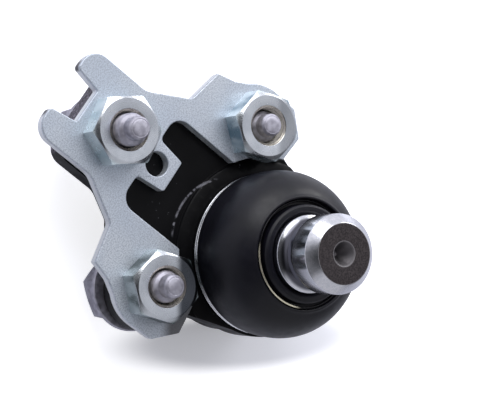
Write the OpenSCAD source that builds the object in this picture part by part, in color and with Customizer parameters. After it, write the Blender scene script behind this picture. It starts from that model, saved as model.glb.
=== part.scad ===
// Ball joint of a car's front suspension, with a flange that three bolts clamp to the control arm.
// The ground stud goes into a split bore, where a cross bolt passes through its groove.
// Origin: on the stud's axis, in the plane of the rolled rim that closes the housing.
// +Z runs along the stud, -Y points to the single bolt, and X runs across the pair of bolts.

/* [Stud] */
// Diameter of the ground shank that enters the split bore
stud_d = 19; // [18:0.5:19.5]
// Diameter of the ball
ball_d = 27; // [26.5:0.5:28]
// Height of the stud's end above the clamp plate
stud_reach = 35.3; // [35:0.1:38]
// Width of the 45 degree chamfer at the stud's end
stud_chamfer = 2.2; // [1.6:0.1:2.4]
// Height of the groove's lower edge above the clamp plate
groove_z = 21; // [20.8:0.1:21.4]
// Height of the groove for the cross bolt
groove_h = 6.3; // [5.8:0.1:6.6]
// Depth of that groove
groove_depth = 2.3; // [1.5:0.1:2.6]

/* [Housing and flange] */
// Radius of the round rim of the flange
rim_r = 21; // [20.9:0.1:21.5]
// Radius of the sharp edge where the tower meets the flange
boss_r = 24.2; // [24:0.1:24.4]
// Thickness of the flange
flange_t = 6; // [5.6:0.1:6.6]
// Radius of the flange's ears beside the pair of bolts
ear_r = 10; // [9.8:0.1:10.3]
// Radius of the housing's body below the flange
body_r = 19.9; // [19.6:0.1:20.1]

/* [Clamp plate] */
// Thickness of the clamp plate
plate_t = 3; // [2.5:0.1:3.2]
// Distance between the pair of bolts
pair_x = 48.8; // [48:0.1:50]
// Distance of the pair of bolts from the stud's axis, along Y
pair_y = 20.9; // [20.4:0.1:21.4]
// Distance of the single bolt from the stud's axis
single_y = 50.6; // [50:0.1:51.2]
// Half the width of the fork
fork_w = 12.7; // [12.5:0.1:13]
// Diameter of the locating hole in the tab
tab_hole_d = 6.1; // [5.5:0.1:6.3]

/* [Bolts and nuts] */
// Thread diameter
thread_d = 10; // [9.8:0.1:10.2]
// Width across flats of the nuts and of the bolt heads
nut_af = 16; // [15.5:0.5:16.5]
// Height of the weld nuts
nut_h = 6.3; // [6:0.1:7]
// Diameter of the washer flange under each bolt head
washer_d = 21.5; // [20:0.5:22.5]
// How far the single bolt is screwed back
back_single = 0; // [0:0.1:1]
// How far the left bolt is screwed back
back_left = 2.8; // [2:0.1:3.2]
// How far the right bolt is screwed back
back_right = 0.1; // [0:0.1:2]

/* [Dust boot] */
// Largest radius of the boot
boot_r = 20.9; // [20.8:0.1:21.4]
// Radius of the boot's upper rim
boot_rim_r = 13.5; // [13.4:0.1:13.8]
// Thickness of the boot's wall
boot_t = 1.4; // [1.2:0.1:1.5]

/* [Hidden] */
$fn = 96;

// Colours of the finishes
black_coat = [0.03, 0.03, 0.035];
zinc = [0.74, 0.77, 0.80];
dull_zinc = [0.42, 0.42, 0.45];
rubber = [0.09, 0.09, 0.10];
ground_steel = [0.78, 0.78, 0.80];
polymer = [0.90, 0.88, 0.80];

// Fits: the ball runs in its seat, and the housing stays clear of the ball
seat_clearance = 0.05;
lip_clearance = 0.35;
hole_clearance = 0.4;
shank_clearance = 0.05;
thread_clearance = 0.04;

// Heights from the rolled rim upwards
ball_r = ball_d/2;
crimp_t = 1.8;
cap_t = 2.2;
seat_t = 1.5;
seat_z = crimp_t + cap_t;
ball_z = seat_z + seat_t + ball_r;
seat_top = ball_z + 5.5;
lip_z = ball_z + 6.5;
plate_z = ball_z + 6;
plate_bottom = plate_z - plate_t;
flange_z = plate_bottom - flange_t;
tower_top = ball_z + 8.5;

// Places of the three bolts
bolt_single_at = [0, -single_y];
bolt_left_at = [-pair_x/2, -pair_y];
bolt_right_at = [pair_x/2, -pair_y];
bolt_places = [bolt_single_at, bolt_left_at, bolt_right_at];

// Bore of the housing, its cap and its rolled rim
seat_r = ball_r + seat_t;
cap_r = seat_r + 1.9;
crimp_bore_r = cap_r - 2.4;
crimp_r = body_r - 1.5;
mouth_r = sqrt(pow(ball_r + lip_clearance, 2) - pow(lip_z - ball_z, 2));
mouth_top_r = mouth_r + 3.6;

// Seat of the boot on the tower
snap_r = 19.1;
bead_r = snap_r - 0.5;
foot_t = 0.65;
shoulder_z = plate_z - 1.2;
bead_top = shoulder_z + 2.5;

// Clamp ring round the boot's foot
ring_z = plate_z - 0.6;
ring_h = 1.5;
ring_r = snap_r + foot_t;
ring_t = 0.55;
shoulder_r = ring_r + ring_t + 0.3;

// Bulge of the boot, and its neck with the wire ring
bulge_z = plate_z + 7;
bulge_centre_r = 10;
rim_z = plate_z + 19;
neck_top = plate_z + 20;
neck_r = 12;
neck_floor = rim_z - 2.4;
wire_r = 0.4;
wire_at = [neck_r + wire_r, neck_floor + wire_r];

// Stud
stud_r = stud_d/2;
stud_top = plate_z + stud_reach;
groove_low = plate_z + groove_z;
groove_high = groove_low + groove_h;
stud_neck_r = 7.5;
stud_flare_z = ball_z + 18;
centre_hole_r = 2.85;
centre_hole_depth = 4;

// Thread and point of the bolts
thread_r = thread_d/2;
thread_pitch = 1.5;
thread_depth = 0.75;
head_h = 11.6;
washer_t = 1.5;
thread_end = 13.5;
pilot_r = 4.05;
pilot_end = 18;
point_z = 19.5;
point_r = 2.7;
dome_h = 1.05;

// How the nuts are turned on the plate, and the bolt heads below it: single, left, right
nut_turn = [10, 52, 49];
head_turn = [25, 5, 54];

// Points of an arc from angle a0 to angle a1
function arc(c, r, a0, a1, n = 8) =
    [for (i = [0:n]) let (a = a0 + (a1 - a0)*i/n) [c[0] + r*cos(a), c[1] + r*sin(a)]];

// Points of an elliptical arc with half axes s[0] and s[1]
function ellipse_arc(c, s, a0, a1, n = 8) =
    [for (i = [0:n]) let (a = a0 + (a1 - a0)*i/n) [c[0] + s[0]*cos(a), c[1] + s[1]*sin(a)]];

// A half outline and its mirror image, as one closed outline
function mirrored(half) = concat(half, [for (i = [len(half) - 1:-1:0]) [-half[i][0], half[i][1]]]);

// The fork's slot, and the tab between the two notches
slot_y = -single_y - 9.9;
slot_w = 4.65;
fork_end = -single_y - 17.1;
tip_r = 4.5;
tab_end = -single_y + 18.2;
notch_y = -single_y + 10.2;
notch_r = 3.9;
opening_x = 13.2;
opening_r = boss_r + 0.4;
ear_x = pair_x/2 + 11;
ear_end = -pair_y + 11.5;

// Half of the clamp plate's outline, from the slot round the ear to the tab
plate_half = concat(
    [[slot_w, slot_y], [slot_w + 1.1, fork_end + 1.2]],
    arc([slot_w + 2.3, fork_end + 1.2], 1.2, 180, 270, 4),
    arc([fork_w - tip_r, fork_end + tip_r], tip_r, 270, 360, 10),
    arc([fork_w + 5, -single_y - 1], 5, 180, 150, 4),
    arc([18.2 + 2.2, -40.4 - 0.9], 2.2, 150, 104, 3),
    [[28.8, -pair_y - 16.4], [30.3, -pair_y - 11.2]],
    arc(bolt_right_at, 11.1, -44, 0, 8),
    [[ear_x, -pair_y + 6.5], [ear_x - 5.4, ear_end + 0.5]],
    arc([0, 0], opening_r, -23, -acos(opening_x/opening_r), 8),
    arc([opening_x - notch_r, notch_y + notch_r], notch_r, 0, -90, 8),
    arc([6.7, notch_y + 1.4], 1.4, 270, 180, 4),
    [[4.5, tab_end - 0.4], [4.1, tab_end]]);

// Half of the flange's outline: fork end, web, ear, and the tangent to the round rim
rim_angle = 10;
web_w = fork_w + 0.3;
web_r = 4.4;
ear_at = bolt_right_at + [0.8, 0.8];
flange_half = concat(
    arc([web_w - web_r, slot_y + 0.15 + web_r], web_r, 270, 360, 8),
    arc([web_w + 5, -single_y + 4.4], 5, 180, 150, 4),
    arc([18.5, -single_y + 11], 2.2, 150, 112, 3),
    arc(ear_at, ear_r, -76, 92, 20),
    arc([0, 0], rim_r, rim_angle, 88, 16));

module flange_outline() {
    polygon(mirrored(flange_half));
}

module tube_hole(places, r, z0, z1) {
    for (at = places)
        translate([at[0], at[1], z0])
            cylinder(r = r, h = z1 - z0);
}

// Forged housing: flange, tower with the mouth for the stud, and the body with its rolled rim
module housing() {
    color(black_coat)
    difference() {
        union() {
            translate([0, 0, flange_z])
                linear_extrude(flange_t)
                    flange_outline();
            tower();
            body();
        }
        tube_hole(bolt_places, thread_r + hole_clearance/2, flange_z - 1, plate_bottom + 1);
        housing_bore();
    }
}

// The tower's base is trimmed with the flange, so it shows its full radius only towards the bolts
module tower() {
    intersection() {
        rotate_extrude()
            polygon([[0, flange_z], [boss_r, flange_z], [boss_r, plate_bottom + 0.5],
                     [boss_r - 0.3, plate_bottom + 0.8], [shoulder_r, shoulder_z], [bead_r, shoulder_z],
                     [bead_r, bead_top], [snap_r, bead_top + 0.2], [snap_r, tower_top - 0.5],
                     [snap_r - 0.5, tower_top], [0, tower_top]]);
        translate([0, 0, flange_z])
            linear_extrude(tower_top - flange_z + 1)
                flange_outline();
    }
}

// Body below the flange, with a blended root and the rim rolled in over the cap
module body() {
    rotate_extrude()
        polygon([[0, 0], [crimp_r - 0.9, 0], [crimp_r - 0.25, 0.25], [crimp_r, 0.9], [crimp_r + 0.5, 3.2],
                 [body_r, 4.4], [body_r, flange_z - 2.4], [body_r + 0.5, flange_z - 0.7],
                 [body_r + 0.8, flange_z + 0.5], [0, flange_z + 0.5]]);
}

// Socket, cap seat and rolled rim below, lip and flared mouth above
module housing_bore() {
    rotate_extrude()
        polygon([[0, -1], [crimp_bore_r, -1], [crimp_bore_r, crimp_t - 0.5], [crimp_bore_r + 0.5, crimp_t],
                 [cap_r, crimp_t], [cap_r, seat_z], [seat_r, seat_z], [seat_r, seat_top],
                 [mouth_r + 0.5, seat_top], [mouth_r, lip_z], [mouth_top_r, tower_top],
                 [mouth_top_r, tower_top + 1], [0, tower_top + 1]]);
}

// Cap under the rolled rim, its middle pressed out flush with the rim to leave room for grease
module end_cap() {
    dish_r = cap_r - 6;
    color(dull_zinc)
        rotate_extrude()
            polygon([[0, 0], [dish_r - 2.4, 0], [dish_r - 1.8, 0.2], [dish_r, crimp_t],
                     [cap_r - 0.05, crimp_t], [cap_r - 0.05, seat_z], [dish_r - 0.6, seat_z],
                     [dish_r - 2.5, cap_t], [0, cap_t]]);
}

// Moulded seat that wraps the ball past its middle, with a grease hole in its floor
module bearing_seat() {
    grease_r = 3;
    color(polymer)
        difference() {
            translate([0, 0, seat_z])
                cylinder(r = seat_r - 0.03, h = seat_top - seat_z - 0.05);
            translate([0, 0, ball_z])
                sphere(r = ball_r + seat_clearance);
            translate([0, 0, seat_z - 1])
                cylinder(r = grease_r, h = ball_r);
            translate([0, 0, seat_top - 0.7])
                cylinder(r1 = ball_r - 1.3, r2 = ball_r - 0.6, h = 1);
        }
}

// Stud and ball, turned from one forging: neck, flare, shank, groove, chamfer and centre hole
module ball_stud() {
    groove_mid = (groove_low + groove_high)/2;
    sagitta = groove_depth;
    groove_arc_r = (pow(groove_h/2, 2) + sagitta*sagitta)/(2*sagitta);
    groove_c = [stud_r - sagitta + groove_arc_r, groove_mid];
    half_angle = asin(groove_h/2/groove_arc_r);
    color(ground_steel)
        difference() {
            union() {
                translate([0, 0, ball_z])
                    sphere(r = ball_r);
                rotate_extrude()
                    polygon(concat(
                        [[0, ball_z], [stud_neck_r, ball_z], [stud_neck_r, ball_z + ball_r + 0.8],
                         [stud_neck_r + 0.6, ball_z + ball_r + 2], [stud_r, stud_flare_z],
                         [stud_r, groove_low - 0.3]],
                        arc(groove_c, groove_arc_r, 180 + half_angle, 180 - half_angle, 12),
                        [[stud_r, stud_top - stud_chamfer], [stud_r - stud_chamfer, stud_top],
                         [0, stud_top]]));
            }
            translate([0, 0, stud_top - centre_hole_depth])
                cylinder(r1 = 0.4, r2 = centre_hole_r, h = centre_hole_depth + 0.01);
        }
}

// Rubber boot: foot bead in the tower's groove, bulge, rim, sunk step, and the neck round the stud
module dust_boot() {
    outer = [boot_r - bulge_centre_r, rim_z - bulge_z + 0.4];
    inner = [outer[0] - boot_t, outer[1] - boot_t];
    lip_angle = acos((boot_rim_r + 0.7 - bulge_centre_r)/outer[0]);
    foot_top = [ring_r + 0.5, ring_z + ring_h + 0.15];
    bore_r = stud_r + shank_clearance;
    step_r = wire_at[0] + wire_r;
    under_step = neck_floor - 1.7;
    under_angle = asin((under_step + 0.1 - bulge_z)/inner[1]);
    color(rubber)
        rotate_extrude()
            polygon(concat(
                [[bead_r, shoulder_z + 0.05], [ring_r + 0.3, shoulder_z + 0.05],
                 [ring_r + 0.5, ring_z - 0.15], [ring_r, ring_z - 0.1], [ring_r, ring_z + ring_h + 0.1]],
                ellipse_arc([foot_top[0], bulge_z], [boot_r - foot_top[0], bulge_z - foot_top[1]],
                            -90, -15, 5),
                ellipse_arc([bulge_centre_r, bulge_z], outer, 0, lip_angle, 10),
                [[boot_rim_r, rim_z], [boot_rim_r - 0.5, rim_z - 0.1], [step_r, rim_z - 1],
                 [step_r, neck_floor], [neck_r, neck_floor], [neck_r, neck_top - 0.5],
                 [neck_r - 0.5, neck_top], [stud_r + 0.9, neck_top], [bore_r, neck_top - 0.9],
                 [bore_r, neck_floor - 3.2], [stud_r + 1.4, neck_floor - 3.9],
                 [boot_rim_r - 1, under_step]],
                ellipse_arc([bulge_centre_r, bulge_z], inner, under_angle, 0, 6),
                [[snap_r + 0.3, bead_top + 1.4], [snap_r + 0.3, tower_top - 1],
                 [snap_r + 0.1, bead_top + 0.2], [bead_r, bead_top - 0.05]]));
}

// Flat steel ring that clamps the boot's foot, with a groove rolled round its middle
module boot_ring() {
    color(zinc)
        rotate_extrude()
            polygon([[ring_r + 0.01, ring_z], [ring_r + ring_t, ring_z],
                     [ring_r + ring_t, ring_z + ring_h*0.4], [ring_r + ring_t - 0.12, ring_z + ring_h*0.5],
                     [ring_r + ring_t, ring_z + ring_h*0.6], [ring_r + ring_t, ring_z + ring_h],
                     [ring_r + 0.01, ring_z + ring_h]]);
}

// Wire ring that holds the boot's neck on the stud
module neck_ring() {
    color([0.80, 0.72, 0.50])
        rotate_extrude()
            translate([wire_at[0], wire_at[1]])
                circle(r = wire_r - 0.02, $fn = 24);
}

// Stamped plate with the fork, the two ears, and the tab between two round notches
module clamp_plate() {
    tab_hole_y = -single_y + 12.8;
    color(zinc)
        difference() {
            translate([0, 0, plate_bottom])
                linear_extrude(plate_t)
                    polygon(mirrored(plate_half));
            tube_hole(bolt_places, thread_r + hole_clearance/2, plate_bottom - 1, plate_z + 1);
            tube_hole([[0, tab_hole_y]], tab_hole_d/2, plate_bottom - 1, plate_z + 1);
        }
}

// Hexagon whose end at the top is bevelled at 30 degrees
module bevelled_hex(af, h, flat_r) {
    corner_r = af/sqrt(3);
    bevel = (corner_r - flat_r)*tan(30);
    intersection() {
        cylinder(r = corner_r, h = h, $fn = 6);
        rotate_extrude()
            polygon([[0, 0], [corner_r + 0.1, 0], [corner_r + 0.1, h - bevel - 0.06], [flat_r, h], [0, h]]);
    }
}

// Thread profile as rings, from z0 to z1, grown outwards by a clearance
module thread_rings(z0, z1, grow = 0) {
    turns = floor((z1 - z0)/thread_pitch);
    crest = thread_r + grow;
    root = crest - thread_depth;
    rotate_extrude()
        polygon(concat(
            [[0, z0], [root, z0]],
            [for (i = [0:turns - 1], p = [[root, 0.1], [crest, 0.65], [crest, 0.85], [root, 1.4]])
                [p[0], z0 + i*thread_pitch + p[1]]],
            [[root, z1], [0, z1]]));
}

// Hexagon nut welded to the plate, its bore countersunk at the top
module weld_nut(at, turn, back) {
    flat_r = nut_af*0.475;
    sink_r = thread_r + 0.55;
    // The rings of the nut's thread lie where those of its bolt are
    first_ring = flange_z - back + 4*thread_pitch;
    color(zinc)
        translate([at[0], at[1], 0])
            difference() {
                translate([0, 0, plate_z])
                    rotate(turn)
                        bevelled_hex(nut_af, nut_h, flat_r);
                thread_rings(first_ring, first_ring + 12*thread_pitch, thread_clearance);
                translate([0, 0, plate_z + nut_h - 1.1])
                    cylinder(r1 = sink_r - 1.3, r2 = sink_r + 1.3, h = 2.2);
            }
}

// Flanged hexagon bolt from below, with its thread and the smooth pilot point
module bolt(at, back, turn) {
    washer_r = washer_d/2;
    cone_r = nut_af/2 + 0.6;
    shaft_z = flange_z - back;
    color(dull_zinc)
        translate([at[0], at[1], shaft_z]) {
            mirror([0, 0, 1]) {
                rotate_extrude()
                    polygon([[0, 0], [washer_r - 0.3, 0], [washer_r, 0.3], [washer_r, washer_t - 0.3],
                             [washer_r - 0.3, washer_t], [cone_r, washer_t + 1.1], [0, washer_t + 1.1]]);
                rotate(turn)
                    bevelled_hex(nut_af, head_h, nut_af*0.47);
            }
            translate([0, 0, -0.5])
                cylinder(r = thread_r - 0.3, h = 1);
            thread_rings(0, thread_end);
            rotate_extrude()
                polygon(concat(
                    [[0, thread_end - 0.5], [pilot_r, thread_end - 0.5], [pilot_r, pilot_end],
                     [pilot_r - 0.65, pilot_end + 0.9], [point_r - 0.15, point_z - 0.1]],
                    ellipse_arc([0, point_z + 0.1], [point_r, dome_h], 0, 90, 6)));
        }
}

module weld_nut_single() { weld_nut(bolt_single_at, nut_turn[0], back_single); }
module weld_nut_left() { weld_nut(bolt_left_at, nut_turn[1], back_left); }
module weld_nut_right() { weld_nut(bolt_right_at, nut_turn[2], back_right); }
module bolt_single() { bolt(bolt_single_at, back_single, head_turn[0]); }
module bolt_left() { bolt(bolt_left_at, back_left, head_turn[1]); }
module bolt_right() { bolt(bolt_right_at, back_right, head_turn[2]); }

housing();
end_cap();
bearing_seat();
clamp_plate();
boot_ring();
dust_boot();
neck_ring();
ball_stud();
weld_nut_single();
weld_nut_left();
weld_nut_right();
bolt_single();
bolt_left();
bolt_right();
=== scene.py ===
# %% [markdown]
# # A car's ball joint, from the CAD frame to the picture
#
# The part is a ball joint: a stud with a ball at its lower end, held in a flanged housing under a rubber
# boot, and a stamped plate with welded nuts that clamps the flange to a control arm. The CAD model brings
# every solid in its place. This script gives each one the finish that the real piece has, rebuilds the
# turned and moulded pieces with rounded edges, and sets the camera and the light.
#
# Lengths are in metres. To keep the numbers readable, sizes of small things are written as `5*mm`.

# %% Load the frame
import math

import bmesh
import bpy
from mathutils import Matrix, Vector


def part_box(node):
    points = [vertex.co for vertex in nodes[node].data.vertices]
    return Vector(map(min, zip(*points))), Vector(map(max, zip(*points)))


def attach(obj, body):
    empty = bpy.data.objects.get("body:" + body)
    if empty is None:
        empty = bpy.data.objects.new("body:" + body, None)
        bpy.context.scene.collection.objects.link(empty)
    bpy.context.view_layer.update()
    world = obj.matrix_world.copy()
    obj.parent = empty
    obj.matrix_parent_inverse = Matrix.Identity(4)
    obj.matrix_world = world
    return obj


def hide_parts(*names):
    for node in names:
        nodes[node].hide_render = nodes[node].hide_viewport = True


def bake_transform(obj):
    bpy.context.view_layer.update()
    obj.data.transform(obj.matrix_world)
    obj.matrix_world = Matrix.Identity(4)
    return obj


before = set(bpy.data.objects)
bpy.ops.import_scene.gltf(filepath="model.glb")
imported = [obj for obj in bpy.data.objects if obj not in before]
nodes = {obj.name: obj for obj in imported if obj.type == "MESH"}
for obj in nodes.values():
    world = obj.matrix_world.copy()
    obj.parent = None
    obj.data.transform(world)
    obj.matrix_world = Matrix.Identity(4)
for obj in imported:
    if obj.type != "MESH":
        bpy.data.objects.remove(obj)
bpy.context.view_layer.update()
mm = 0.001

# %% [markdown]
# ## Where things are
#
# A maker measures from a few faces. Here they are read from the CAD nodes: the top of the clamp plate, the
# stud's end, and the axis and the seat of each bolt. Typing the heights in again would work until the model
# changes, so only what can't be read is typed: how far a bolt's tip stands above its washer. The outlines
# further down are written in millimetres above the top of the plate, which the whole joint is fixed by.

# %% Read the main heights
plate_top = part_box("clamp_plate")[1].z
stud_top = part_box("ball_stud")[1].z
bolt_names = ("bolt_single", "bolt_left", "bolt_right")
tip_above_washer = 20.65*mm
bolt_seats = {}
for name in bolt_names:
    low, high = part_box(name)
    bolt_seats[name] = Vector(((low.x + high.x)/2, (low.y + high.y)/2, high.z - tip_above_washer))
    print(name, "axis and washer at", [round(v/mm, 2) for v in bolt_seats[name]])
print("plate top", round(plate_top/mm, 2), "stud end", round(stud_top/mm, 2))

# %% [markdown]
# ## Camera
#
# The photograph was taken from above the stud with a long lens, and the part lay on its side, so the camera
# is rolled about its own axis. A look-at constraint can't hold that roll. The three axes of the camera are
# written out instead: where it looks, which way is up in the picture, and the cross product for the rest.

# %% Set the camera
eye = Vector((110.6, -155.1, 340.3))*mm
forward = Vector((-0.3207, 0.3874, -0.8643)).normalized()
picture_up = Vector((-0.8041, -0.5936, 0.0323))
picture_right = forward.cross(picture_up).normalized()
picture_up = picture_right.cross(forward)

camera_data = bpy.data.cameras.new("camera")
camera_data.lens = 109.1
camera_data.sensor_width = 36
camera = bpy.data.objects.new("camera", camera_data)
bpy.context.scene.collection.objects.link(camera)
axes = Matrix((picture_right, picture_up, -forward)).transposed().to_4x4()
camera.matrix_world = Matrix.Translation(eye) @ axes
bpy.context.scene.camera = camera
print("camera", [round(v/mm) for v in eye], "mm")

# %% [markdown]
# ## A small bench of shader tools
#
# Every finish starts from the same few moves: make a number from a grain or a place, fade it into a mask,
# and mix two looks by the mask. They could be wired by hand in the node editor. A short method for each node
# reads better here, because the same few nodes come back in every finish, and in the sky too.

# %% Nodes that calculate
class Bench:
    def __init__(self, tree, coordinate):
        self.tree = tree
        self.place = tree.nodes.new("ShaderNodeTexCoord").outputs[coordinate]

    def put(self, socket, value):
        if isinstance(value, bpy.types.NodeSocket):
            self.tree.links.new(value, socket)
        elif isinstance(value, (tuple, list)) and len(value) == 3 and socket.type == "RGBA":
            socket.default_value = (*value, 1)
        else:
            socket.default_value = value

    def calc(self, operation, a, b=0.0):
        node = self.tree.nodes.new("ShaderNodeMath")
        node.operation = operation
        self.put(node.inputs[0], a)
        self.put(node.inputs[1], b)
        return node.outputs[0]

    def product(self, *factors):
        result = factors[0]
        for factor in factors[1:]:
            result = self.calc("MULTIPLY", result, factor)
        return result

    def noise(self, scale, detail=2.0, vector=None):
        node = self.tree.nodes.new("ShaderNodeTexNoise")
        self.put(node.inputs["Vector"], vector or self.place)
        node.inputs["Scale"].default_value = scale
        node.inputs["Detail"].default_value = detail
        return node.outputs["Fac"]

    def fade(self, value, start, end, low=0.0, high=1.0):
        node = self.tree.nodes.new("ShaderNodeMapRange")
        node.interpolation_type = "SMOOTHSTEP"
        self.put(node.inputs["Value"], value)
        for socket, number in zip(("From Min", "From Max", "To Min", "To Max"), (start, end, low, high)):
            node.inputs[socket].default_value = number
        return node.outputs["Result"]

    def mix(self, mask, a, b):
        node = self.tree.nodes.new("ShaderNodeMix")
        node.data_type = "RGBA"
        self.put(node.inputs[0], mask)
        self.put(node.inputs[6], a)
        self.put(node.inputs[7], b)
        return node.outputs[2]


# %% [markdown]
# A finish is a bench on a material's tree. It measures places as well: the height, the distance along a
# direction and the distance from an upright axis. All of them come from object coordinates. Every piece
# keeps its origin in the part's frame, so a mask can name a real place, such as the foot of the tower, and
# the grain stays on the piece when it moves.

# %% A finish and its places
class Finish(Bench):
    def __init__(self, name, colour, roughness, metallic=0.0):
        self.material = bpy.data.materials.new(name)
        self.material.use_nodes = True
        super().__init__(self.material.node_tree, "Object")
        self.surface = self.tree.nodes["Principled BSDF"]
        self.set(Base_Color=colour, Roughness=roughness, Metallic=metallic)

    def axis(self, name):
        split = self.tree.nodes.new("ShaderNodeSeparateXYZ")
        self.put(split.inputs[0], self.place)
        return split.outputs[name]

    def from_centre(self, centre):
        dx = self.calc("SUBTRACT", self.axis("X"), centre[0])
        dy = self.calc("SUBTRACT", self.axis("Y"), centre[1])
        return dx, dy

    def along(self, way, centre=(0, 0)):
        dx, dy = self.from_centre(centre)
        return self.calc("ADD", self.product(dx, way[0]), self.product(dy, way[1]))

    def radius(self, centre=(0, 0)):
        dx, dy = self.from_centre(centre)
        return self.calc("SQRT", self.calc("ADD", self.product(dx, dx), self.product(dy, dy)))

    def stretch(self, scale):
        node = self.tree.nodes.new("ShaderNodeMapping")
        self.put(node.inputs["Vector"], self.place)
        node.inputs["Scale"].default_value = scale
        return node.outputs[0]

    def bump(self, height, distance):
        node = self.tree.nodes.new("ShaderNodeBump")
        node.inputs["Distance"].default_value = distance
        self.put(node.inputs["Height"], height)
        self.put(self.surface.inputs["Normal"], node.outputs[0])

    def set(self, **values):
        for name, value in values.items():
            self.put(self.surface.inputs[name.replace("_", " ")], value)


def wear(piece, finish):
    piece.data.materials.clear()
    piece.data.materials.append(finish.material)
    print(piece.name, "wears", finish.material.name, "-", len(finish.tree.nodes), "nodes")


# %% [markdown]
# ## The black coat of the forging
#
# The housing is dip-coated: a thin, near-black, satin paint with a faint orange-peel surface and light
# specks of dust in it. The end of the flange, in the plate's fork, stays rough from the trimming die, and
# the coat looks purplish and grainy there. Two materials on two sets of faces would show a hard border, so
# one material does for the whole forging, and the rough end is a mask by place.

# %% Mix the coat
black_coat = Finish("black_coat", (0.004, 0.004, 0.005), 0.38)
cloud = black_coat.fade(black_coat.noise(55, 4), 0.35, 0.7)
coat_colour = black_coat.mix(cloud, (0.0025, 0.0025, 0.003), (0.006, 0.006, 0.007))
specks = black_coat.fade(black_coat.noise(900, 3), 0.69, 0.76)
coat_colour = black_coat.mix(specks, coat_colour, (0.07, 0.07, 0.08))
end_grain = black_coat.noise(2000, 3)
end_colour = black_coat.mix(black_coat.fade(end_grain, 0.46, 0.66), (0.014, 0.011, 0.019), (0.23, 0.20, 0.26))
trimmed = black_coat.fade(black_coat.axis("Y"), -58.2*mm, -59.4*mm)
coat_colour = black_coat.mix(trimmed, coat_colour, end_colour)
print("coat:", len(black_coat.tree.nodes), "nodes so far")

# %% [markdown]
# At the foot of the tower the coat has been rubbed through, and bright steel shows as a broken, scratchy
# arc. A painted image could carry it. A line at one distance from a point near the stud's axis does the same
# without a file: four fades keep it to the open side and to the level of the flange's top, and a fine noise
# breaks it up.

# %% Rub the foot of the tower
scrape_centre, scrape_radius = (2.7*mm, -9.4*mm), 16.0*mm
off_line = black_coat.calc("SUBTRACT", black_coat.radius(scrape_centre), scrape_radius)
off_line = black_coat.calc("ABSOLUTE", off_line)
rubbed = black_coat.product(black_coat.fade(off_line, 0.42*mm, 0.10*mm),
                            black_coat.fade(black_coat.axis("Y"), -21.0*mm, -22.0*mm),
                            black_coat.fade(black_coat.axis("X"), -8.5*mm, -6.0*mm),
                            black_coat.fade(black_coat.axis("X"), 11.4*mm, 9.4*mm),
                            black_coat.fade(black_coat.axis("Z"), plate_top - 3.5*mm, plate_top - 3.2*mm),
                            black_coat.fade(black_coat.noise(900, 5), 0.36, 0.56))
coat_colour = black_coat.mix(rubbed, coat_colour, (0.22, 0.22, 0.25))
coat_roughness = black_coat.fade(black_coat.noise(240, 4), 0.3, 0.7, 0.30, 0.44)
black_coat.set(Base_Color=coat_colour, Roughness=coat_roughness, Specular_IOR_Level=0.1)
orange_peel = black_coat.calc("ADD", black_coat.noise(420, 3), black_coat.product(end_grain, 0.4))
black_coat.bump(orange_peel, 0.025*mm)
wear(nodes["housing"], black_coat)

# %% [markdown]
# ## Zinc on the stamped plate
#
# Bright zinc plating is a metal with a cold, slightly blue tint. Sheet keeps a fine grain from rolling, and
# the bath leaves it a little cloudy. Both could be a photograph of sheet metal, but that would stretch on the
# cut walls. A noise in the part's own space runs over every face alike.

# %% Plate the clamp plate
zinc_plate = Finish("zinc_plate", (0.62, 0.66, 0.71), 0.36, 0.6)
clouds = zinc_plate.noise(90, 4)
plate_colour = zinc_plate.mix(zinc_plate.fade(clouds, 0.3, 0.7), (0.61, 0.67, 0.755), (0.69, 0.73, 0.785))
rolled = zinc_plate.noise(3000, 2)
plate_colour = zinc_plate.mix(zinc_plate.fade(rolled, 0.38, 0.66, 0, 0.9), plate_colour, (0.43, 0.47, 0.54))
print("plating:", len(zinc_plate.tree.nodes), "nodes so far")

# %% [markdown]
# The cut walls are painted brighter than the faces, a painted highlight along the edges, apart from the
# fork's tips, where the shear tore the edge dark. The corner beside the right nut is painted dark, a painted
# shade.
# These are masks by height and by place, and not separate faces, so they end softly.

# %% Painted highlight on the cut walls, painted shade by a nut
cut_wall = zinc_plate.fade(zinc_plate.axis("Z"), plate_top - 0.4*mm, plate_top - 1.0*mm)
fork_tip = zinc_plate.fade(zinc_plate.axis("Y"), -66.3*mm, -67.3*mm)
near_slot = zinc_plate.fade(zinc_plate.calc("ABSOLUTE", zinc_plate.axis("X")), 9.2*mm, 7.2*mm)
sheared = zinc_plate.product(fork_tip, cut_wall, near_slot)
# Painted highlight: the cut walls are mixed towards a light grey.
plate_colour = zinc_plate.mix(zinc_plate.product(cut_wall, 0.7), plate_colour, (0.90, 0.92, 0.94))
plate_colour = zinc_plate.mix(sheared, plate_colour, (0.10, 0.10, 0.11))
# Painted shade: a dark patch on the plate beside the right nut, placed along the camera's right and down
# directions.
shade_patch_nut = bolt_seats["bolt_right"]
painted_shade_patch = zinc_plate.product(zinc_plate.fade(zinc_plate.along(picture_right, shade_patch_nut), 0.5*mm, 4.0*mm),
                          zinc_plate.fade(zinc_plate.along(-picture_up, shade_patch_nut), 2.0*mm, 6.0*mm), 0.88)
plate_colour = zinc_plate.mix(painted_shade_patch, plate_colour, (0.09, 0.085, 0.085))
zinc_plate.set(Base_Color=plate_colour, Roughness=zinc_plate.fade(clouds, 0.3, 0.7, 0.38, 0.50))
zinc_plate.bump(rolled, 0.02*mm)
wear(nodes["clamp_plate"], zinc_plate)

# %% [markdown]
# ## Zinc on the nuts
#
# The nuts are plated too. Their tops are faced on a lathe, which draws fine circles. An anisotropic shader
# would bend the highlight but draw no lines, so the relief there is a noise of one dimension, along the
# radius. Their flanks keep cloudy pools of colour from the bath, and the countersinks a trace of yellow
# passivation. On two of them one side of the top is painted dark: a painted reflection of the black boot.
# The flank tints of each nut are painted light and shade as well, pale on a lit nut and dark on a shaded one.
# Each nut has its own tints and its own share of painted reflection, so a function makes the finish and is
# called three times.

# %% Plate the weld nuts
nut_height = 6.3
nut_top = plate_top + nut_height*mm


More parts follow.
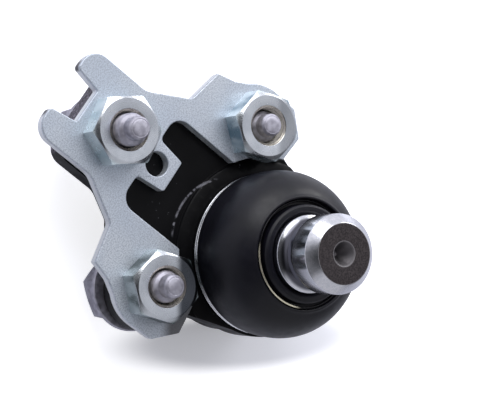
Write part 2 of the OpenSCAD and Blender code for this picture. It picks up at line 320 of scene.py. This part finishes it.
def nut_finish(name, centre, pale, deep, reflection_share):
    finish = Finish("zinc_" + name, (0.6, 0.64, 0.7), 0.3, 1.0)
    away = finish.radius(centre)
    circles = finish.tree.nodes.new("ShaderNodeTexNoise")
    circles.noise_dimensions = "1D"
    finish.put(circles.inputs["W"], away)
    circles.inputs["Scale"].default_value = 5200
    circles.inputs["Detail"].default_value = 2
    top = finish.fade(finish.axis("Z"), nut_top - 0.9*mm, nut_top - 0.3*mm)
    faced = finish.mix(finish.fade(finish.noise(160, 3), 0.3, 0.7), (0.52, 0.55, 0.59), (0.66, 0.69, 0.73))
    # Painted reflection: one side of the top is darkened where the black boot is mirrored.
    painted_reflection = finish.fade(finish.along(picture_right, centre), 1.6*mm, 3.6*mm, 0, reflection_share)
    faced = finish.mix(painted_reflection, faced, (0.035, 0.04, 0.05))
    pools = finish.fade(finish.noise(170, 2, finish.stretch((1.0, 1.0, 0.4))), 0.38, 0.60)
    colour = finish.mix(top, finish.mix(pools, deep, pale), faced)
    sink = finish.fade(away, 5.15*mm, 5.0*mm)
    colour = finish.mix(finish.product(sink, 0.9), colour, (0.70, 0.66, 0.54))
    finish.set(Base_Color=colour, Roughness=finish.fade(finish.noise(300, 3), 0.3, 0.7, 0.20, 0.30),
               Metallic=finish.fade(top, 0.0, 1.0, 0.55, 1.0))
    tool_marks = finish.product(circles.outputs["Fac"], top)
    finish.bump(finish.calc("ADD", tool_marks, finish.product(finish.noise(700, 3), 0.25)), 0.02*mm)
    return finish


# Each nut's pale and deep flank tints are painted light and shade, set for the light on that nut; the third
# value is its share of painted reflection.
nut_lit_and_shaded_tints = {"single": ((0.78, 0.90, 0.95), (0.52, 0.66, 0.72), 0.0),
             "left": ((0.82, 0.93, 0.99), (0.20, 0.31, 0.39), 0.40),
             "right": ((0.56, 0.64, 0.67), (0.05, 0.075, 0.075), 0.93)}
nut_finishes = {}
for name, (pale, deep, reflection_share) in nut_lit_and_shaded_tints.items():
    seat = bolt_seats["bolt_" + name]
    nut_finishes[name] = nut_finish("nut_" + name, (seat.x, seat.y), pale, deep, reflection_share)
print("nut finishes:", len(nut_finishes))

# %% [markdown]
# ## Softer edges on the CAD solids
#
# A stamped or forged edge is never a knife edge: it rolls over by some tenths of a millimetre, and that
# narrow roll is what catches the light. The bevel is made with modifiers, so the solids themselves stay as
# imported. The import splits the mesh at every face, so a weld comes first. Flat faces arrive cut in
# triangles, and a planar dissolve joins them, or the bevel would run along cuts that nobody sees. The
# weighted normals at the end keep the big faces flat.

# %% Soften the forging, the plate and the cap
def soften(piece, width):
    weld = piece.modifiers.new("join_faces", "WELD")
    weld.merge_threshold = 0.002*mm
    flat = piece.modifiers.new("flat_faces", "DECIMATE")
    flat.decimate_type = "DISSOLVE"
    flat.angle_limit = math.radians(0.6)
    bevel = piece.modifiers.new("soft_edges", "BEVEL")
    bevel.width = width
    bevel.segments = 2
    bevel.limit_method = "ANGLE"
    bevel.angle_limit = math.radians(25)
    bevel.use_clamp_overlap = True
    bevel.miter_outer = "MITER_ARC"
    normals = piece.modifiers.new("even_normals", "WEIGHTED_NORMAL")
    normals.keep_sharp = False
    normals.weight = 80


edge_widths = {"housing": 0.5*mm, "clamp_plate": 0.28*mm, "end_cap": 0.2*mm}
for name, width in edge_widths.items():
    soften(nodes[name], width)
print("softened:", ", ".join(edge_widths))

# %% [markdown]
# ## The lathe
#
# Stud, boot, rings and the round parts of the bolts are all bodies of revolution, so one set of tools makes
# them. An outline is a list of (radius, height, fillet) in millimetres. The fillet replaces a corner by an
# arc, as the tool's nose or the mould does. A bevel modifier could round the corners later, but with one
# width for all of them, and here every corner has its own.

# %% Draw an outline
def rounded(points, steps=5):
    out = []
    for i, point in enumerate(points):
        here = Vector(point[:2])
        fillet = point[2] if len(point) > 2 else 0
        if not fillet or i in (0, len(points) - 1):
            out.append(here)
            continue
        before = Vector(points[i - 1][:2]) - here
        after = Vector(points[i + 1][:2]) - here
        half = before.angle(after)/2
        cut = min(fillet/math.tan(half), 0.48*before.length, 0.48*after.length)
        start = here + before.normalized()*cut
        end = here + after.normalized()*cut
        centre = here + (before.normalized() + after.normalized()).normalized()*(cut/math.cos(half))
        a, b = start - centre, end - centre
        turn = a.angle_signed(b)
        for k in range(steps + 1):
            out.append(centre + Matrix.Rotation(-turn*k/steps, 2) @ a)
    return out


def ellipse(centre, size, first, last, steps):
    angles = [math.radians(first + (last - first)*k/steps) for k in range(steps + 1)]
    return [(centre[0] + size[0]*math.cos(a), centre[1] + size[1]*math.sin(a)) for a in angles]


def finer(outline, longest):
    out = [outline[0]]
    for a, b in zip(outline, outline[1:]):
        count = max(1, math.ceil((b - a).length/longest))
        out += [a.lerp(b, k/count) for k in range(1, count + 1)]
    return out


print("a square corner with a fillet has", len(rounded([(0, 0), (1, 0, 0.2), (1, 1)])) - 2, "points")

# %% [markdown]
# The outline is then spun about an upright axis, one ring of vertices for each point. A point on the axis
# gives a single vertex, so ends close without a hole. A screw modifier spins as well, but several spun and
# cut shapes have to go into one mesh for a bolt, and that is simpler while they are still vertices.

# %% Spin it
def spin(bm, outline, axis, segments, closed=False):
    rings = []
    for point in outline:
        if point.x < 1e-4:
            rings.append([bm.verts.new((axis.x, axis.y, axis.z + point.y*mm))])
            continue
        ring = []
        for k in range(segments):
            angle = 2*math.pi*k/segments
            ring.append(bm.verts.new((axis.x + point.x*mm*math.cos(angle),
                                      axis.y + point.x*mm*math.sin(angle), axis.z + point.y*mm)))
        rings.append(ring)
    pairs = list(zip(rings, rings[1:])) + ([(rings[-1], rings[0])] if closed else [])
    for low, high in pairs:
        for k in range(segments):
            n = (k + 1) % segments
            if len(low) == 1:
                bm.faces.new((low[0], high[n], high[k]))
            elif len(high) == 1:
                bm.faces.new((low[k], low[n], high[0]))
            else:
                bm.faces.new((low[k], low[n], high[n], high[k]))


# %% [markdown]
# A spun shape becomes a piece when it gets its normals and its shading. Corners that stay sharper than the
# given angle keep a crisp shade, and everything else is smooth. Shading the whole piece smooth would smear
# light across the faced ends.

# %% Make it a piece
def finish_mesh(bm, name, sharp=30):
    bmesh.ops.recalc_face_normals(bm, faces=bm.faces)
    for face in bm.faces:
        face.smooth = True
    for edge in bm.edges:
        if len(edge.link_faces) == 2 and edge.calc_face_angle() > math.radians(sharp):
            edge.smooth = False
    mesh = bpy.data.meshes.new(name)
    bm.to_mesh(mesh)
    bm.free()
    piece = bpy.data.objects.new(name, mesh)
    bpy.context.scene.collection.objects.link(piece)
    print(name, "-", len(mesh.polygons), "faces")
    return piece


def turned(name, outline, axis, segments=160, closed=False):
    bm = bmesh.new()
    spin(bm, outline, axis, segments, closed)
    return finish_mesh(bm, name)


# %% [markdown]
# ## The stud
#
# Ball and stud are one forging. The CAD solid has true curves, but its arcs arrive as facets that a mirror
# finish would show, so the stud is turned again here, finer and with small radii. The groove takes the pinch
# bolt. Its section is an arc, worked out from its depth and its half width, and its edges are broken by a
# small radius, which draws a bright line.

# %% Turn the ball stud
on_plate = Vector((0, 0, plate_top))
end = (stud_top - plate_top)/mm
shank, chamfer = 9.5, 2.2
groove_mid, groove_half, groove_deep = 24.15, 3.15, 2.3
groove_arc = (groove_half**2 + groove_deep**2)/(2*groove_deep)
groove_angle = math.degrees(math.asin(groove_half/groove_arc))
groove_edge, groove_lip = groove_angle - 2, groove_half + 0.15
groove_centre = (shank - groove_deep + groove_arc, groove_mid)
ball, ball_mid, neck = 13.5, -6.0, 7.5
neck_angle = math.degrees(math.acos(neck/ball))
outline = ellipse((0, ball_mid), (ball, ball), -90, neck_angle, 40)
outline += [(neck, 8.3, 2.0), (8.2, 9.6, 2.5), (shank, 12.0, 3.0), (shank, groove_mid - groove_lip, 0.25)]
outline += ellipse(groove_centre, (groove_arc, groove_arc), 180 + groove_edge, 180 - groove_edge, 24)
outline += [(shank, groove_mid + groove_lip, 0.25), (shank, end - chamfer, 0.35), (shank - chamfer, end, 0.3)]
outline += [(2.95, end, 0.12), (0.45, end - 4.0, 0.1), (0.0, end - 4.05)]
stud = turned("stud", rounded(outline), on_plate, 192)
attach(stud, "stud")
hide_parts("ball_stud")

# %% [markdown]
# ## Ground steel
#
# The shank is ground and polished along its length, so the streaks in its colour and roughness run
# lengthwise: the noise is stretched along the height. The groove is only turned, and its colour is painted
# dark: a painted shade for the recess. The end face isn't machined: it stays dark brown-grey and grainy from
# the forge, with the conical hole that held it between centres. Three materials would meet in hard lines on a
# turned mesh. Masks by height and by radius part the finishes more softly, and they need no face to be
# picked.

# %% Grind and forge the stud
ground_steel = Finish("ground_steel", (0.66, 0.67, 0.71), 0.2, 1.0)
from_axis = ground_steel.radius()
streaks = ground_steel.noise(1300, 3, ground_steel.stretch((1.0, 1.0, 0.012)))
lengthwise = ground_steel.fade(streaks, 0.35, 0.65)
steel_colour = ground_steel.mix(lengthwise, (0.64, 0.65, 0.70), (0.71, 0.71, 0.76))
height = ground_steel.axis("Z")
# Painted shade: the groove is darkened in colour, not in finish.
groove_painted_shade = ground_steel.product(ground_steel.fade(from_axis, 9.2*mm, 8.3*mm),
                            ground_steel.fade(height, plate_top + 27.6*mm, plate_top + 27.2*mm))
steel_colour = ground_steel.mix(groove_painted_shade, steel_colour, (0.10, 0.10, 0.12))
face = ground_steel.product(ground_steel.fade(height, stud_top - 0.55*mm, stud_top - 0.12*mm),
                            ground_steel.fade(from_axis, 7.35*mm, 7.1*mm))
hole = ground_steel.product(ground_steel.fade(height, stud_top - 5*mm, stud_top - 4.5*mm),
                            ground_steel.fade(from_axis, 3.2*mm, 3.0*mm))
forged = ground_steel.calc("MAXIMUM", face, hole)
forge_grain = ground_steel.noise(2600, 4)
forge_colour = ground_steel.mix(ground_steel.fade(forge_grain, 0.35, 0.68), (0.026, 0.021, 0.023),
                                (0.062, 0.052, 0.054))
forge_colour = ground_steel.mix(hole, forge_colour, (0.20, 0.19, 0.20))
steel_rough = ground_steel.calc("ADD", ground_steel.product(forged, 0.28),
                                ground_steel.fade(streaks, 0.3, 0.7, 0.16, 0.19))
ground_steel.set(Base_Color=ground_steel.mix(forged, steel_colour, forge_colour), Roughness=steel_rough,
                 Metallic=ground_steel.calc("SUBTRACT", 1.0, ground_steel.product(face, 0.85)),
                 Specular_IOR_Level=0.25)
relief = ground_steel.product(forge_grain, face)
relief = ground_steel.calc("ADD", ground_steel.product(streaks, 0.006), relief)
ground_steel.bump(relief, 0.03*mm)
wear(stud, ground_steel)

# %% [markdown]
# ## The rubber boot
#
# The boot is moulded in one piece: a thick foot under the clamp ring, a thin bulge that can fold, a rim, and
# a neck that grips the stud from inside a sunk step. It could be a surface with a thickness modifier, but its
# wall changes from place to place, so the outline runs round the outside and back along the inside. The neck
# grips only above the height where the bend ends, and below it the rubber stands off the stud, so that the
# stud doesn't cut through it when it tilts.

# %% Draw the boot
bulge = 7.0
foot = [(18.6, -1.15), (20.05, -1.15, 0.15), (20.25, -0.75, 0.1), (19.77, -0.7, 0.1), (19.77, 1.0, 0.1)]
outside = ellipse((20.25, bulge), (0.65, 5.95), -90, -8, 10)
swell = ellipse((10.0, bulge), (10.9, 12.4), 0, 65, 40)
step = [(14.0, 18.8, 0.4), (13.55, 18.7, 0.25), (13.3, 17.9, 0.3), (13.2, 16.6, 0.35), (12.0, 16.6, 0.25),
        (12.0, 19.5, 0.35), (11.5, 20.0, 0.35), (10.4, 20.0, 0.4), (9.56, 19.1, 0.2), (9.56, 18.5, 0.1),
        (9.95, 17.6, 0.3), (10.9, 16.4, 0.4), (11.9, 15.5, 0.5), (13.5, 15.3, 0.5)]
inside = ellipse((10.0, bulge), (9.5, 11.0), 47, 0, 24)
tail = [(19.4, 2.7, 0.5), (19.4, 1.5), (19.2, 1.5), (18.6, 1.25), (18.6, -1.15)]
boot_outline = finer(rounded(foot + outside + swell + step + inside + tail), 0.6)
print("boot outline:", len(boot_outline), "points")

# %% [markdown]
# When the stud tilts, the bulge bends. The joint has two tilt axes one above the other, and a bend can run
# between two bodies only. So the outline is cut in two a little above the widest ring, one half for each
# axis. Both halves have very short rings at the cut, so that no seam shows in the shading. The boot could
# also be simulated as cloth, but then it would be right at one tilt only.

# %% Cut the outline in two
cut = 10.0
near = [0.12, 0.06, 0.03, 0.012]


def crossings(outline, height):
    hits = []
    for k, (a, b) in enumerate(zip(outline, outline[1:])):
        if (a.y - height)*(b.y - height) < 0:
            hits.append((k, a.lerp(b, (height - a.y)/(b.y - a.y))))
    return hits


def from_cut(hit, towards):
    way = (towards - hit[1]).normalized()
    return [hit[1]] + [hit[1] + way*d for d in reversed(near)]


def between(a, b):
    return [p for p in boot_outline[a:b] if abs(p.y - cut) > 0.15]


hits = crossings(boot_outline, cut)
first, last = hits[0], hits[-1]
up_out = from_cut(first, boot_outline[first[0] + 1])
down_out = from_cut(first, boot_outline[first[0]])
down_in = from_cut(last, boot_outline[last[0] + 1])
up_in = from_cut(last, boot_outline[last[0]])
upper = up_out + between(first[0] + 1, last[0] + 1) + up_in[::-1]
lower = down_in + between(last[0] + 1, len(boot_outline)) + between(0, first[0] + 1) + down_out[::-1]
print("cut at", cut, "mm: upper", len(upper), "points, lower", len(lower))

# %% [markdown]
# Both halves are spun, and their placement is baked into their meshes. On the real joint the foot stays with
# the housing, and the neck tilts with the stud. The two halves stand together for the CAD boot, which is
# hidden.

# %% Mould the boot
boot_lower = turned("boot_lower", lower, on_plate)
boot_upper = turned("boot_upper", upper, on_plate)
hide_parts("dust_boot")
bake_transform(boot_lower)
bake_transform(boot_upper)
print("the boot bends from 1.3 to", cut, "and from there to 18.5 mm above the plate")

# %% [markdown]
# ## Rubber
#
# New rubber is a deep blue-black, never a pure one. It has a faint bloom, so the colour shifts slowly over
# the surface, and a satin skin from the mould. One flat black would look like a hole in the picture. A low
# specular level keeps the sheen soft.

# %% Mix the rubber
boot_rubber = Finish("boot_rubber", (0.005, 0.005, 0.009), 0.46)
bloom = boot_rubber.fade(boot_rubber.noise(110, 4), 0.3, 0.7)
rubber_colour = boot_rubber.mix(bloom, (0.0040, 0.0040, 0.0075), (0.0065, 0.0065, 0.0120))
rubber_roughness = boot_rubber.fade(boot_rubber.noise(500, 3), 0.3, 0.7, 0.36, 0.44)
boot_rubber.set(Base_Color=rubber_colour, Roughness=rubber_roughness, Specular_IOR_Level=0.33)
boot_rubber.bump(boot_rubber.noise(800, 3), 0.015*mm)
for half in (boot_lower, boot_upper):
    wear(half, boot_rubber)

# %% [markdown]
# ## The ring at the boot's foot
#
# The foot is held by a flat steel ring with a shallow groove rolled round its middle, so it shows as two
# bright lines. A plain torus would show one. Here the outline is two small lobes with a flat back, and the
# lathe does the rest.

# %% Turn the clamp ring
ring_outline = [Vector((19.76, -0.6))]
for middle in (-0.24, 0.62):
    ring_outline += [Vector(p) for p in ellipse((20.0, middle), (0.42, 0.42), -80, 80, 10)]
ring_outline.append(Vector((19.76, 1.05)))
ring = turned("clamp_ring", ring_outline, on_plate, 192, closed=True)
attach(ring, "base")
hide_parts("boot_ring")
ring_steel = Finish("ring_steel", (0.86, 0.87, 0.90), 0.28, 1.0)
ring_steel.set(Roughness=ring_steel.fade(ring_steel.noise(400, 3), 0.3, 0.7, 0.18, 0.32))
ring_steel.bump(ring_steel.noise(900, 2), 0.01*mm)
wear(ring, ring_steel)

# %% [markdown]
# ## The wire at the boot's neck
#
# The neck is held by a sprung wire that lies in the sunk step. It sits a little askew, so one side stands
# clear of the rubber. That side shows the wire's yellowish passivation and reads as a thin golden arc. The
# rest is painted near-black: a painted shade for the dark the wire mirrors there. A curve with a round bevel
# would make the wire as well. The lathe is at hand, so the circle is turned level at the origin, then leaned
# and lifted.

# %% Bend the neck wire
wire_lean = Matrix.Rotation(math.radians(3.2), 4, Vector((-0.21, -0.98, 0)))
wire_at = Vector((0, 0, plate_top + 18.1*mm))
wire_section = [Vector(p) for p in ellipse((13.03, 0), (0.27, 0.27), 0, 337.5, 15)]
wire = turned("neck_wire", wire_section, Vector((0, 0, 0)), closed=True)
wire.data.transform(Matrix.Translation(wire_at) @ wire_lean)
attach(wire, "boot_neck")
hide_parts("neck_ring")
gold_wire = Finish("gold_wire", (0.88, 0.80, 0.58), 0.25, 1.0)
# The golden side is kept; the rest of the wire is painted near-black, a painted shade.
lit_arc = gold_wire.fade(gold_wire.along((0.945, -0.326)), 8.6*mm, 10.6*mm)
gold_wire.set(Roughness=gold_wire.fade(gold_wire.noise(600, 3), 0.3, 0.7, 0.22, 0.36),
              Base_Color=gold_wire.mix(lit_arc, (0.02, 0.02, 0.022), (0.92, 0.86, 0.66)))
wear(wire, gold_wire)

# %% [markdown]
# ## Threads and hexagons
#
# A bolt is cold-headed, threaded by rolling, and ends in a smooth pilot point that finds the nut. The
# thread is a true helix. One row of vertices runs along each edge of the profile, and every row climbs by
# one pitch per turn, so crest and root stay crisp with few faces. At the ends the rows are held at the
# thread's limits, which gives the run-out. A screw modifier makes the same helix, but without the run-out.

# %% Cut a thread
def helix(bm, axis, low, high, pitch, root, crest, segments=64):
    profile = [(0.1, root), (0.65, crest), (0.85, crest), (1.4, root)]
    turns = int((high - low)/pitch) + 2
    rows = []
    for m in range(4*turns):
        offset, radius = profile[m % 4]
        start = low - pitch + (m//4)*pitch + offset
        row = []
        for k in range(segments + 1):
            z = start + pitch*k/segments
            held = min(max(z, low), high)
            r = root if held != z else radius
            angle = 2*math.pi*k/segments
            row.append(bm.verts.new((axis.x + r*mm*math.cos(angle), axis.y + r*mm*math.sin(angle),
                                     axis.z + held*mm)))
        rows.append(row)
    for lower_row, upper_row in zip(rows, rows[1:]):
        for k in range(segments):
            bm.faces.new((lower_row[k], lower_row[k + 1], upper_row[k + 1], upper_row[k]))
    bmesh.ops.remove_doubles(bm, verts=bm.verts, dist=0.004*mm)


# %% [markdown]
# A hexagon is a prism cut by a 30 degree cone, which leaves the curved lines known from every nut and bolt
# head. A boolean would cut it, and leave long thin faces. Here the height of the curve is computed for each
# angle instead: the further a point is from the axis, the deeper the cone cuts. The rows named inward go on
# from the flat top down into a countersink, and without them the top is closed.

# %% Cut a hexagon
def hexagon(bm, axis, start, end, flats, flat_radius, turn, inward=(), segments=96):
    rows = [[] for _ in range(3 + len(inward))]
    way = 1 if end > start else -1
    for k in range(segments):
        angle = 2*math.pi*k/segments
        off = (angle + math.pi/6) % (math.pi/3) - math.pi/6
        radius = flats/2/math.cos(abs(off) - math.pi/6)
        bevel = (radius - flat_radius)*math.tan(math.radians(30))
        a = angle + math.radians(turn)
        profile = [(radius, start), (radius, end - way*bevel), (flat_radius, end)] + list(inward)
        for row, (r, h) in zip(rows, profile):
            row.append(bm.verts.new((axis.x + r*mm*math.cos(a), axis.y + r*mm*math.sin(a), axis.z + h*mm)))
    for low, high in zip(rows, rows[1:]):
        for k in range(segments):
            n = (k + 1) % segments
            bm.faces.new((low[k], low[n], high[n], high[k]))
    if not inward:
        bm.faces.new(rows[2])


def crisp_bevel(piece, width):
    bevel = piece.modifiers.new("soft_edges", "BEVEL")
    bevel.width = width
    bevel.segments = 2
    bevel.limit_method = "ANGLE"
    bevel.angle_limit = math.radians(34)


# %% [markdown]
# ## The weld nuts
#
# A weld nut is a hexagon with a turned top and a countersink in two steps, and the thread shows below it as
# a few rings: one can't tell them from a helix at that depth, and rings are simpler. How each nut is turned
# is read from the photograph.

# %% Make the nuts
flats, nut_face = 16.0, 7.6
nut_turns = {"single": 10, "left": 52, "right": 49}
countersink = [(5.1, nut_height, 0.1), (4.75, nut_height - 0.4, 0.08), (4.6, nut_height - 0.5, 0.08),
               (4.3, nut_height - 1.1, 0.08)]
for k in range(5):
    countersink += [(4.62, nut_height - 1.4 - k*0.75), (4.25, nut_height - 1.75 - k*0.75)]
countersink = [(p.x, p.y) for p in rounded([(nut_face, nut_height)] + countersink, 2)][1:]
for name, turn in nut_turns.items():
    seat = bolt_seats["bolt_" + name]
    bm = bmesh.new()
    hexagon(bm, Vector((seat.x, seat.y, plate_top)), 0, nut_height, flats, nut_face, turn, countersink)
    nut = finish_mesh(bm, "nut_" + name, 25)
    crisp_bevel(nut, 0.16*mm)
    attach(nut, "base")
    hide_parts("weld_nut_" + name)
    wear(nut, nut_finishes[name])

# %% [markdown]
# ## The bolts
#
# Thread, pilot point, washer and head are one forging, so one mesh. The pilot has rolled ridges and then a
# thin end. Heights are measured from the washer's top face, where the bolt seats. That face is painted with
# the flange's black coat: painted shade for the dark gap under the plate, which also stands in for the
# flange's black edge. A mask could mark it, but the black ends at a real edge, so the faces there simply take
# a second material.

# %% Shape a bolt
head_turns = {"bolt_single": 25, "bolt_left": 5, "bolt_right": 54}
washer_radii = {"bolt_single": 9.9, "bolt_left": 10.75, "bolt_right": 10.75}
head_start, head_end, head_face = -1.6, -10.0, 7.5
thread_end, thread_pitch, thread_root, thread_crest = 13.3, 1.5, 4.25, 5.0
ridge_foot, ridge_crest, ridge_step = 3.58, 3.92, 0.84
pilot = [(thread_root, 13.1), (ridge_foot, 13.7, 0.1)]
for k in range(4):
    rise = ridge_step*k
    pilot += [(ridge_foot, 13.8 + rise), (ridge_crest, 14.1 + rise, 0.08), (ridge_crest, 14.3 + rise, 0.08)]
pilot += [(3.6, 17.3, 0.2), (2.85, 17.9, 0.15), (2.8, 20.6, 0.35), (2.3, 21.1, 0.25)]
pilot = rounded(pilot + ellipse((0, 21.05), (2.1, 0.3), 0, 90, 8))


def shape_bolt(bm, name, axis):
    helix(bm, axis, 0, thread_end, thread_pitch, thread_root, thread_crest)
    spin(bm, pilot, axis, 64)
    rim = washer_radii[name]
    washer = [(4.2, 0.0), (rim - 0.25, 0.0, 0.15), (rim, -0.3, 0.2), (rim, -1.2, 0.2),
              (rim - 0.4, -1.5, 0.15), (8.6, -2.5, 0.5), (6.0, -2.6)]
    spin(bm, rounded(washer), axis, 96)
    # The washer's top faces take the flange's black coat: painted shade for the gap under the plate.
    for face in bm.faces:
        if all(abs(v.co.z - axis.z) < 0.02*mm and (v.co - axis).length > 4.1*mm for v in face.verts):
            face.material_index = 1
    hexagon(bm, axis, head_start, head_end, flats, head_face, head_turns[name])


print("pilot outline:", len(pilot), "points")

# %% [markdown]
# Two of the bolts are only screwed in by hand: they stand off the flange by a millimetre or two and hang a
# few degrees askew, so each has a drop, a lean, and the way that its head leans to. The mesh is turned about
# a point in the nut before it becomes an object. A rotation of the object would look the same, but every
# piece keeps its origin in the part's frame, so that grain and masks stay true.

# %% Hang the bolts in their nuts
hang = {"bolt_left": (1.1, 1.5, Vector((0.5, 0.5, 0))), "bolt_right": (2.0, 3.6, Vector((0.83, -0.30, 0)))}


def make_bolt(name, axis):
    bm = bmesh.new()
    shape_bolt(bm, name, axis)
    if name in hang:
        drop, lean, head_way = hang[name]
        pivot = Vector((axis.x, axis.y, plate_top + 5*mm))
        turn = Matrix.Rotation(math.radians(lean), 3, Vector((head_way.y, -head_way.x, 0)))
        bmesh.ops.translate(bm, vec=Vector((0, 0, -drop*mm)), verts=bm.verts)
        bmesh.ops.rotate(bm, cent=pivot, matrix=turn, verts=bm.verts)
    piece = finish_mesh(bm, name + "_turned", 28)
    crisp_bevel(piece, 0.15*mm)
    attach(piece, "base")
    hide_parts(name)
    return piece


bolts = {name: make_bolt(name, bolt_seats[name]) for name in bolt_names}

# %% [markdown]
# ## Zinc flake on the bolts
#
# The bolts are coated with zinc flake, which is duller and more violet than the plating of the nuts, and
# mottled where it dried. One noise makes the mottle. A second one is stretched level, so it draws the fine
# rings that rolling leaves. They could be geometry, but they are finer than the mesh's facets.

# %% Coat the bolts
zinc_bolt = Finish("zinc_bolt", (0.44, 0.43, 0.49), 0.45, 1.0)
mottle = zinc_bolt.noise(650, 4)
ridges = zinc_bolt.noise(2400, 2, zinc_bolt.stretch((0.12, 0.12, 1.0)))
bolt_colour = zinc_bolt.mix(zinc_bolt.fade(mottle, 0.35, 0.65), (0.38, 0.37, 0.43), (0.56, 0.55, 0.62))
bolt_colour = zinc_bolt.mix(zinc_bolt.fade(ridges, 0.55, 0.7, 0, 0.3), bolt_colour, (0.30, 0.29, 0.34))
zinc_bolt.set(Base_Color=bolt_colour, Roughness=zinc_bolt.fade(mottle, 0.3, 0.7, 0.48, 0.62))
zinc_bolt.bump(zinc_bolt.calc("ADD", zinc_bolt.noise(1100, 4), ridges), 0.05*mm)
for piece in bolts.values():
    wear(piece, zinc_bolt)
    # Second material: the black coat, as painted shade on the washers' top faces.
    piece.data.materials.append(black_coat.material)

# %% [markdown]
# ## What is hidden
#
# The cap is pressed from sheet and phosphated, a dull dark grey. The seat is a moulded, ivory-coloured
# polymer. Neither shows from the camera, but both are there for a view from below or a cut. They could borrow
# a finish, but a sheet of steel and a polymer have little in common, so each gets its own.

# %% Cap and seat
cap_steel = Finish("cap_steel", (0.16, 0.16, 0.17), 0.5, 0.8)
cap_noise = cap_steel.noise(300, 4)
cap_colour = cap_steel.mix(cap_steel.fade(cap_noise, 0.3, 0.7), (0.12, 0.12, 0.13), (0.21, 0.21, 0.22))
cap_steel.set(Base_Color=cap_colour)
cap_steel.bump(cap_noise, 0.02*mm)
wear(nodes["end_cap"], cap_steel)
seat_polymer = Finish("seat_polymer", (0.80, 0.77, 0.67), 0.45)
seat_colour = seat_polymer.mix(seat_polymer.noise(120, 3), (0.78, 0.74, 0.64), (0.83, 0.80, 0.71))
seat_polymer.set(Base_Color=seat_colour)
seat_polymer.bump(seat_polymer.noise(500, 2), 0.01*mm)
wear(nodes["bearing_seat"], seat_polymer)

# %% [markdown]
# ## Surroundings
#
# A small shiny part is lit by what it mirrors. A ready-made studio image would do, but it would be a file to
# carry along. Here the sky is a white studio made of directions: brighter towards the photograph's upper
# edge, dimmer at its left and behind the camera, with one low patch of fill.

# %% Build the studio sky
world = bpy.data.worlds.new("studio")
world.use_nodes = True
bpy.context.scene.world = world
sky = Bench(world.node_tree, "Generated")


def facing(way, low, high, start=-1.0, end=1.0):
    dot = sky.tree.nodes.new("ShaderNodeVectorMath")
    dot.operation = "DOT_PRODUCT"
    sky.put(dot.inputs[0], sky.place)
    dot.inputs[1].default_value = way
    return sky.fade(dot.outputs["Value"], start, end, low, high)


bright_side = facing(picture_up, 0.10, 1.05, -0.9, 0.7)
dark_left = facing(-picture_right, 1.0, 0.12, 0.72, 0.94)
behind_camera = facing(-forward, 1.0, 0.08, 0.70, 0.93)
low_fill = facing(Vector((0.68, 0.62, 0.38)), 0.0, 0.5, 0.66, 0.92)
background = sky.tree.nodes["Background"]
sky_level = sky.calc("ADD", sky.product(bright_side, dark_left, behind_camera), low_fill)
sky.put(background.inputs["Strength"], sky_level)
background.inputs["Color"].default_value = (0.93, 0.94, 1.0, 1)
print("sky:", len(sky.tree.nodes), "nodes")

# %% [markdown]
# ## Lamps
#
# Two round, soft lamps add what the sky is too even for. The key stands above the picture's upper edge and
# gives the gentle shadow and the sheen on the boot. The edge lamp stands low at the upper right and draws
# the light rim on the boot, the stud and the nuts. Discs are used, because their mirror image in the stud
# has no corners.

# %% Hang the lamps
aim = Vector((0, -20*mm, 30*mm))


def softbox(name, way, distance, size, power):
    data = bpy.data.lights.new(name, "AREA")
    data.shape = "DISK"
    data.size = size
    data.energy = power
    lamp = bpy.data.objects.new(name, data)
    bpy.context.scene.collection.objects.link(lamp)
    lamp.location = aim + way.normalized()*distance
    lamp.rotation_mode = "QUATERNION"
    lamp.rotation_quaternion = (aim - lamp.location).to_track_quat("-Z", "Y")
    print("lamp", name, "at", [round(v, 2) for v in lamp.location])


softbox("key", picture_up*0.9 - forward*0.7 + picture_right*0.2, 0.9, 0.7, 3.9)
softbox("edge", picture_up*0.65 + picture_right*0.75 + forward*0.05, 0.9, 0.4, 2.0)

# %% [markdown]
# ## Ground
#
# The ground is white paper. Lit plainly it would come out grey, so the camera alone sees a little extra
# white on it: Is Camera Ray switches that on, and the part isn't lit by it. More light would whiten it too,
# and bleach the part. The extra is held back in an oval below the part, where its shadow falls, so that the
# shadow stays.

# %% Lay the ground
reach = 2
corners = [(x*reach, y*reach, -0.1*mm) for x, y in ((-1, -1), (1, -1), (1, 1), (-1, 1))]
ground_mesh = bpy.data.meshes.new("ground")
ground_mesh.from_pydata(corners, [], [(0, 1, 2, 3)])
ground = bpy.data.objects.new("ground", ground_mesh)
bpy.context.scene.collection.objects.link(ground)
paper = Finish("paper", (0.83, 0.84, 0.92), 0.35)
seen = paper.tree.nodes.new("ShaderNodeLightPath").outputs["Is Camera Ray"]
extra = paper.tree.nodes.new("ShaderNodeEmission")
both = paper.tree.nodes.new("ShaderNodeAddShader")


def off_middle(way, middle, half):
    off = paper.calc("DIVIDE", paper.calc("SUBTRACT", paper.along(way), middle), half)
    return paper.product(off, off)


oval = paper.calc("ADD", off_middle(picture_right, 7*mm, 31*mm), off_middle(picture_up, -23.5*mm, 7.5*mm))
extra_white = paper.fade(paper.calc("SQRT", oval), 0.7, 1.25, 0.22, 0.74)
paper.put(extra.inputs["Strength"], paper.product(seen, extra_white))
paper.put(both.inputs[0], paper.surface.outputs[0])
paper.put(both.inputs[1], extra.outputs[0])
paper.put(paper.tree.nodes["Material Output"].inputs["Surface"], both.outputs[0])
ground_mesh.materials.append(paper.material)
bpy.context.scene.view_settings.view_transform = "Standard"
print("ground:", 2*reach, "m square, paper of", len(paper.tree.nodes), "nodes")
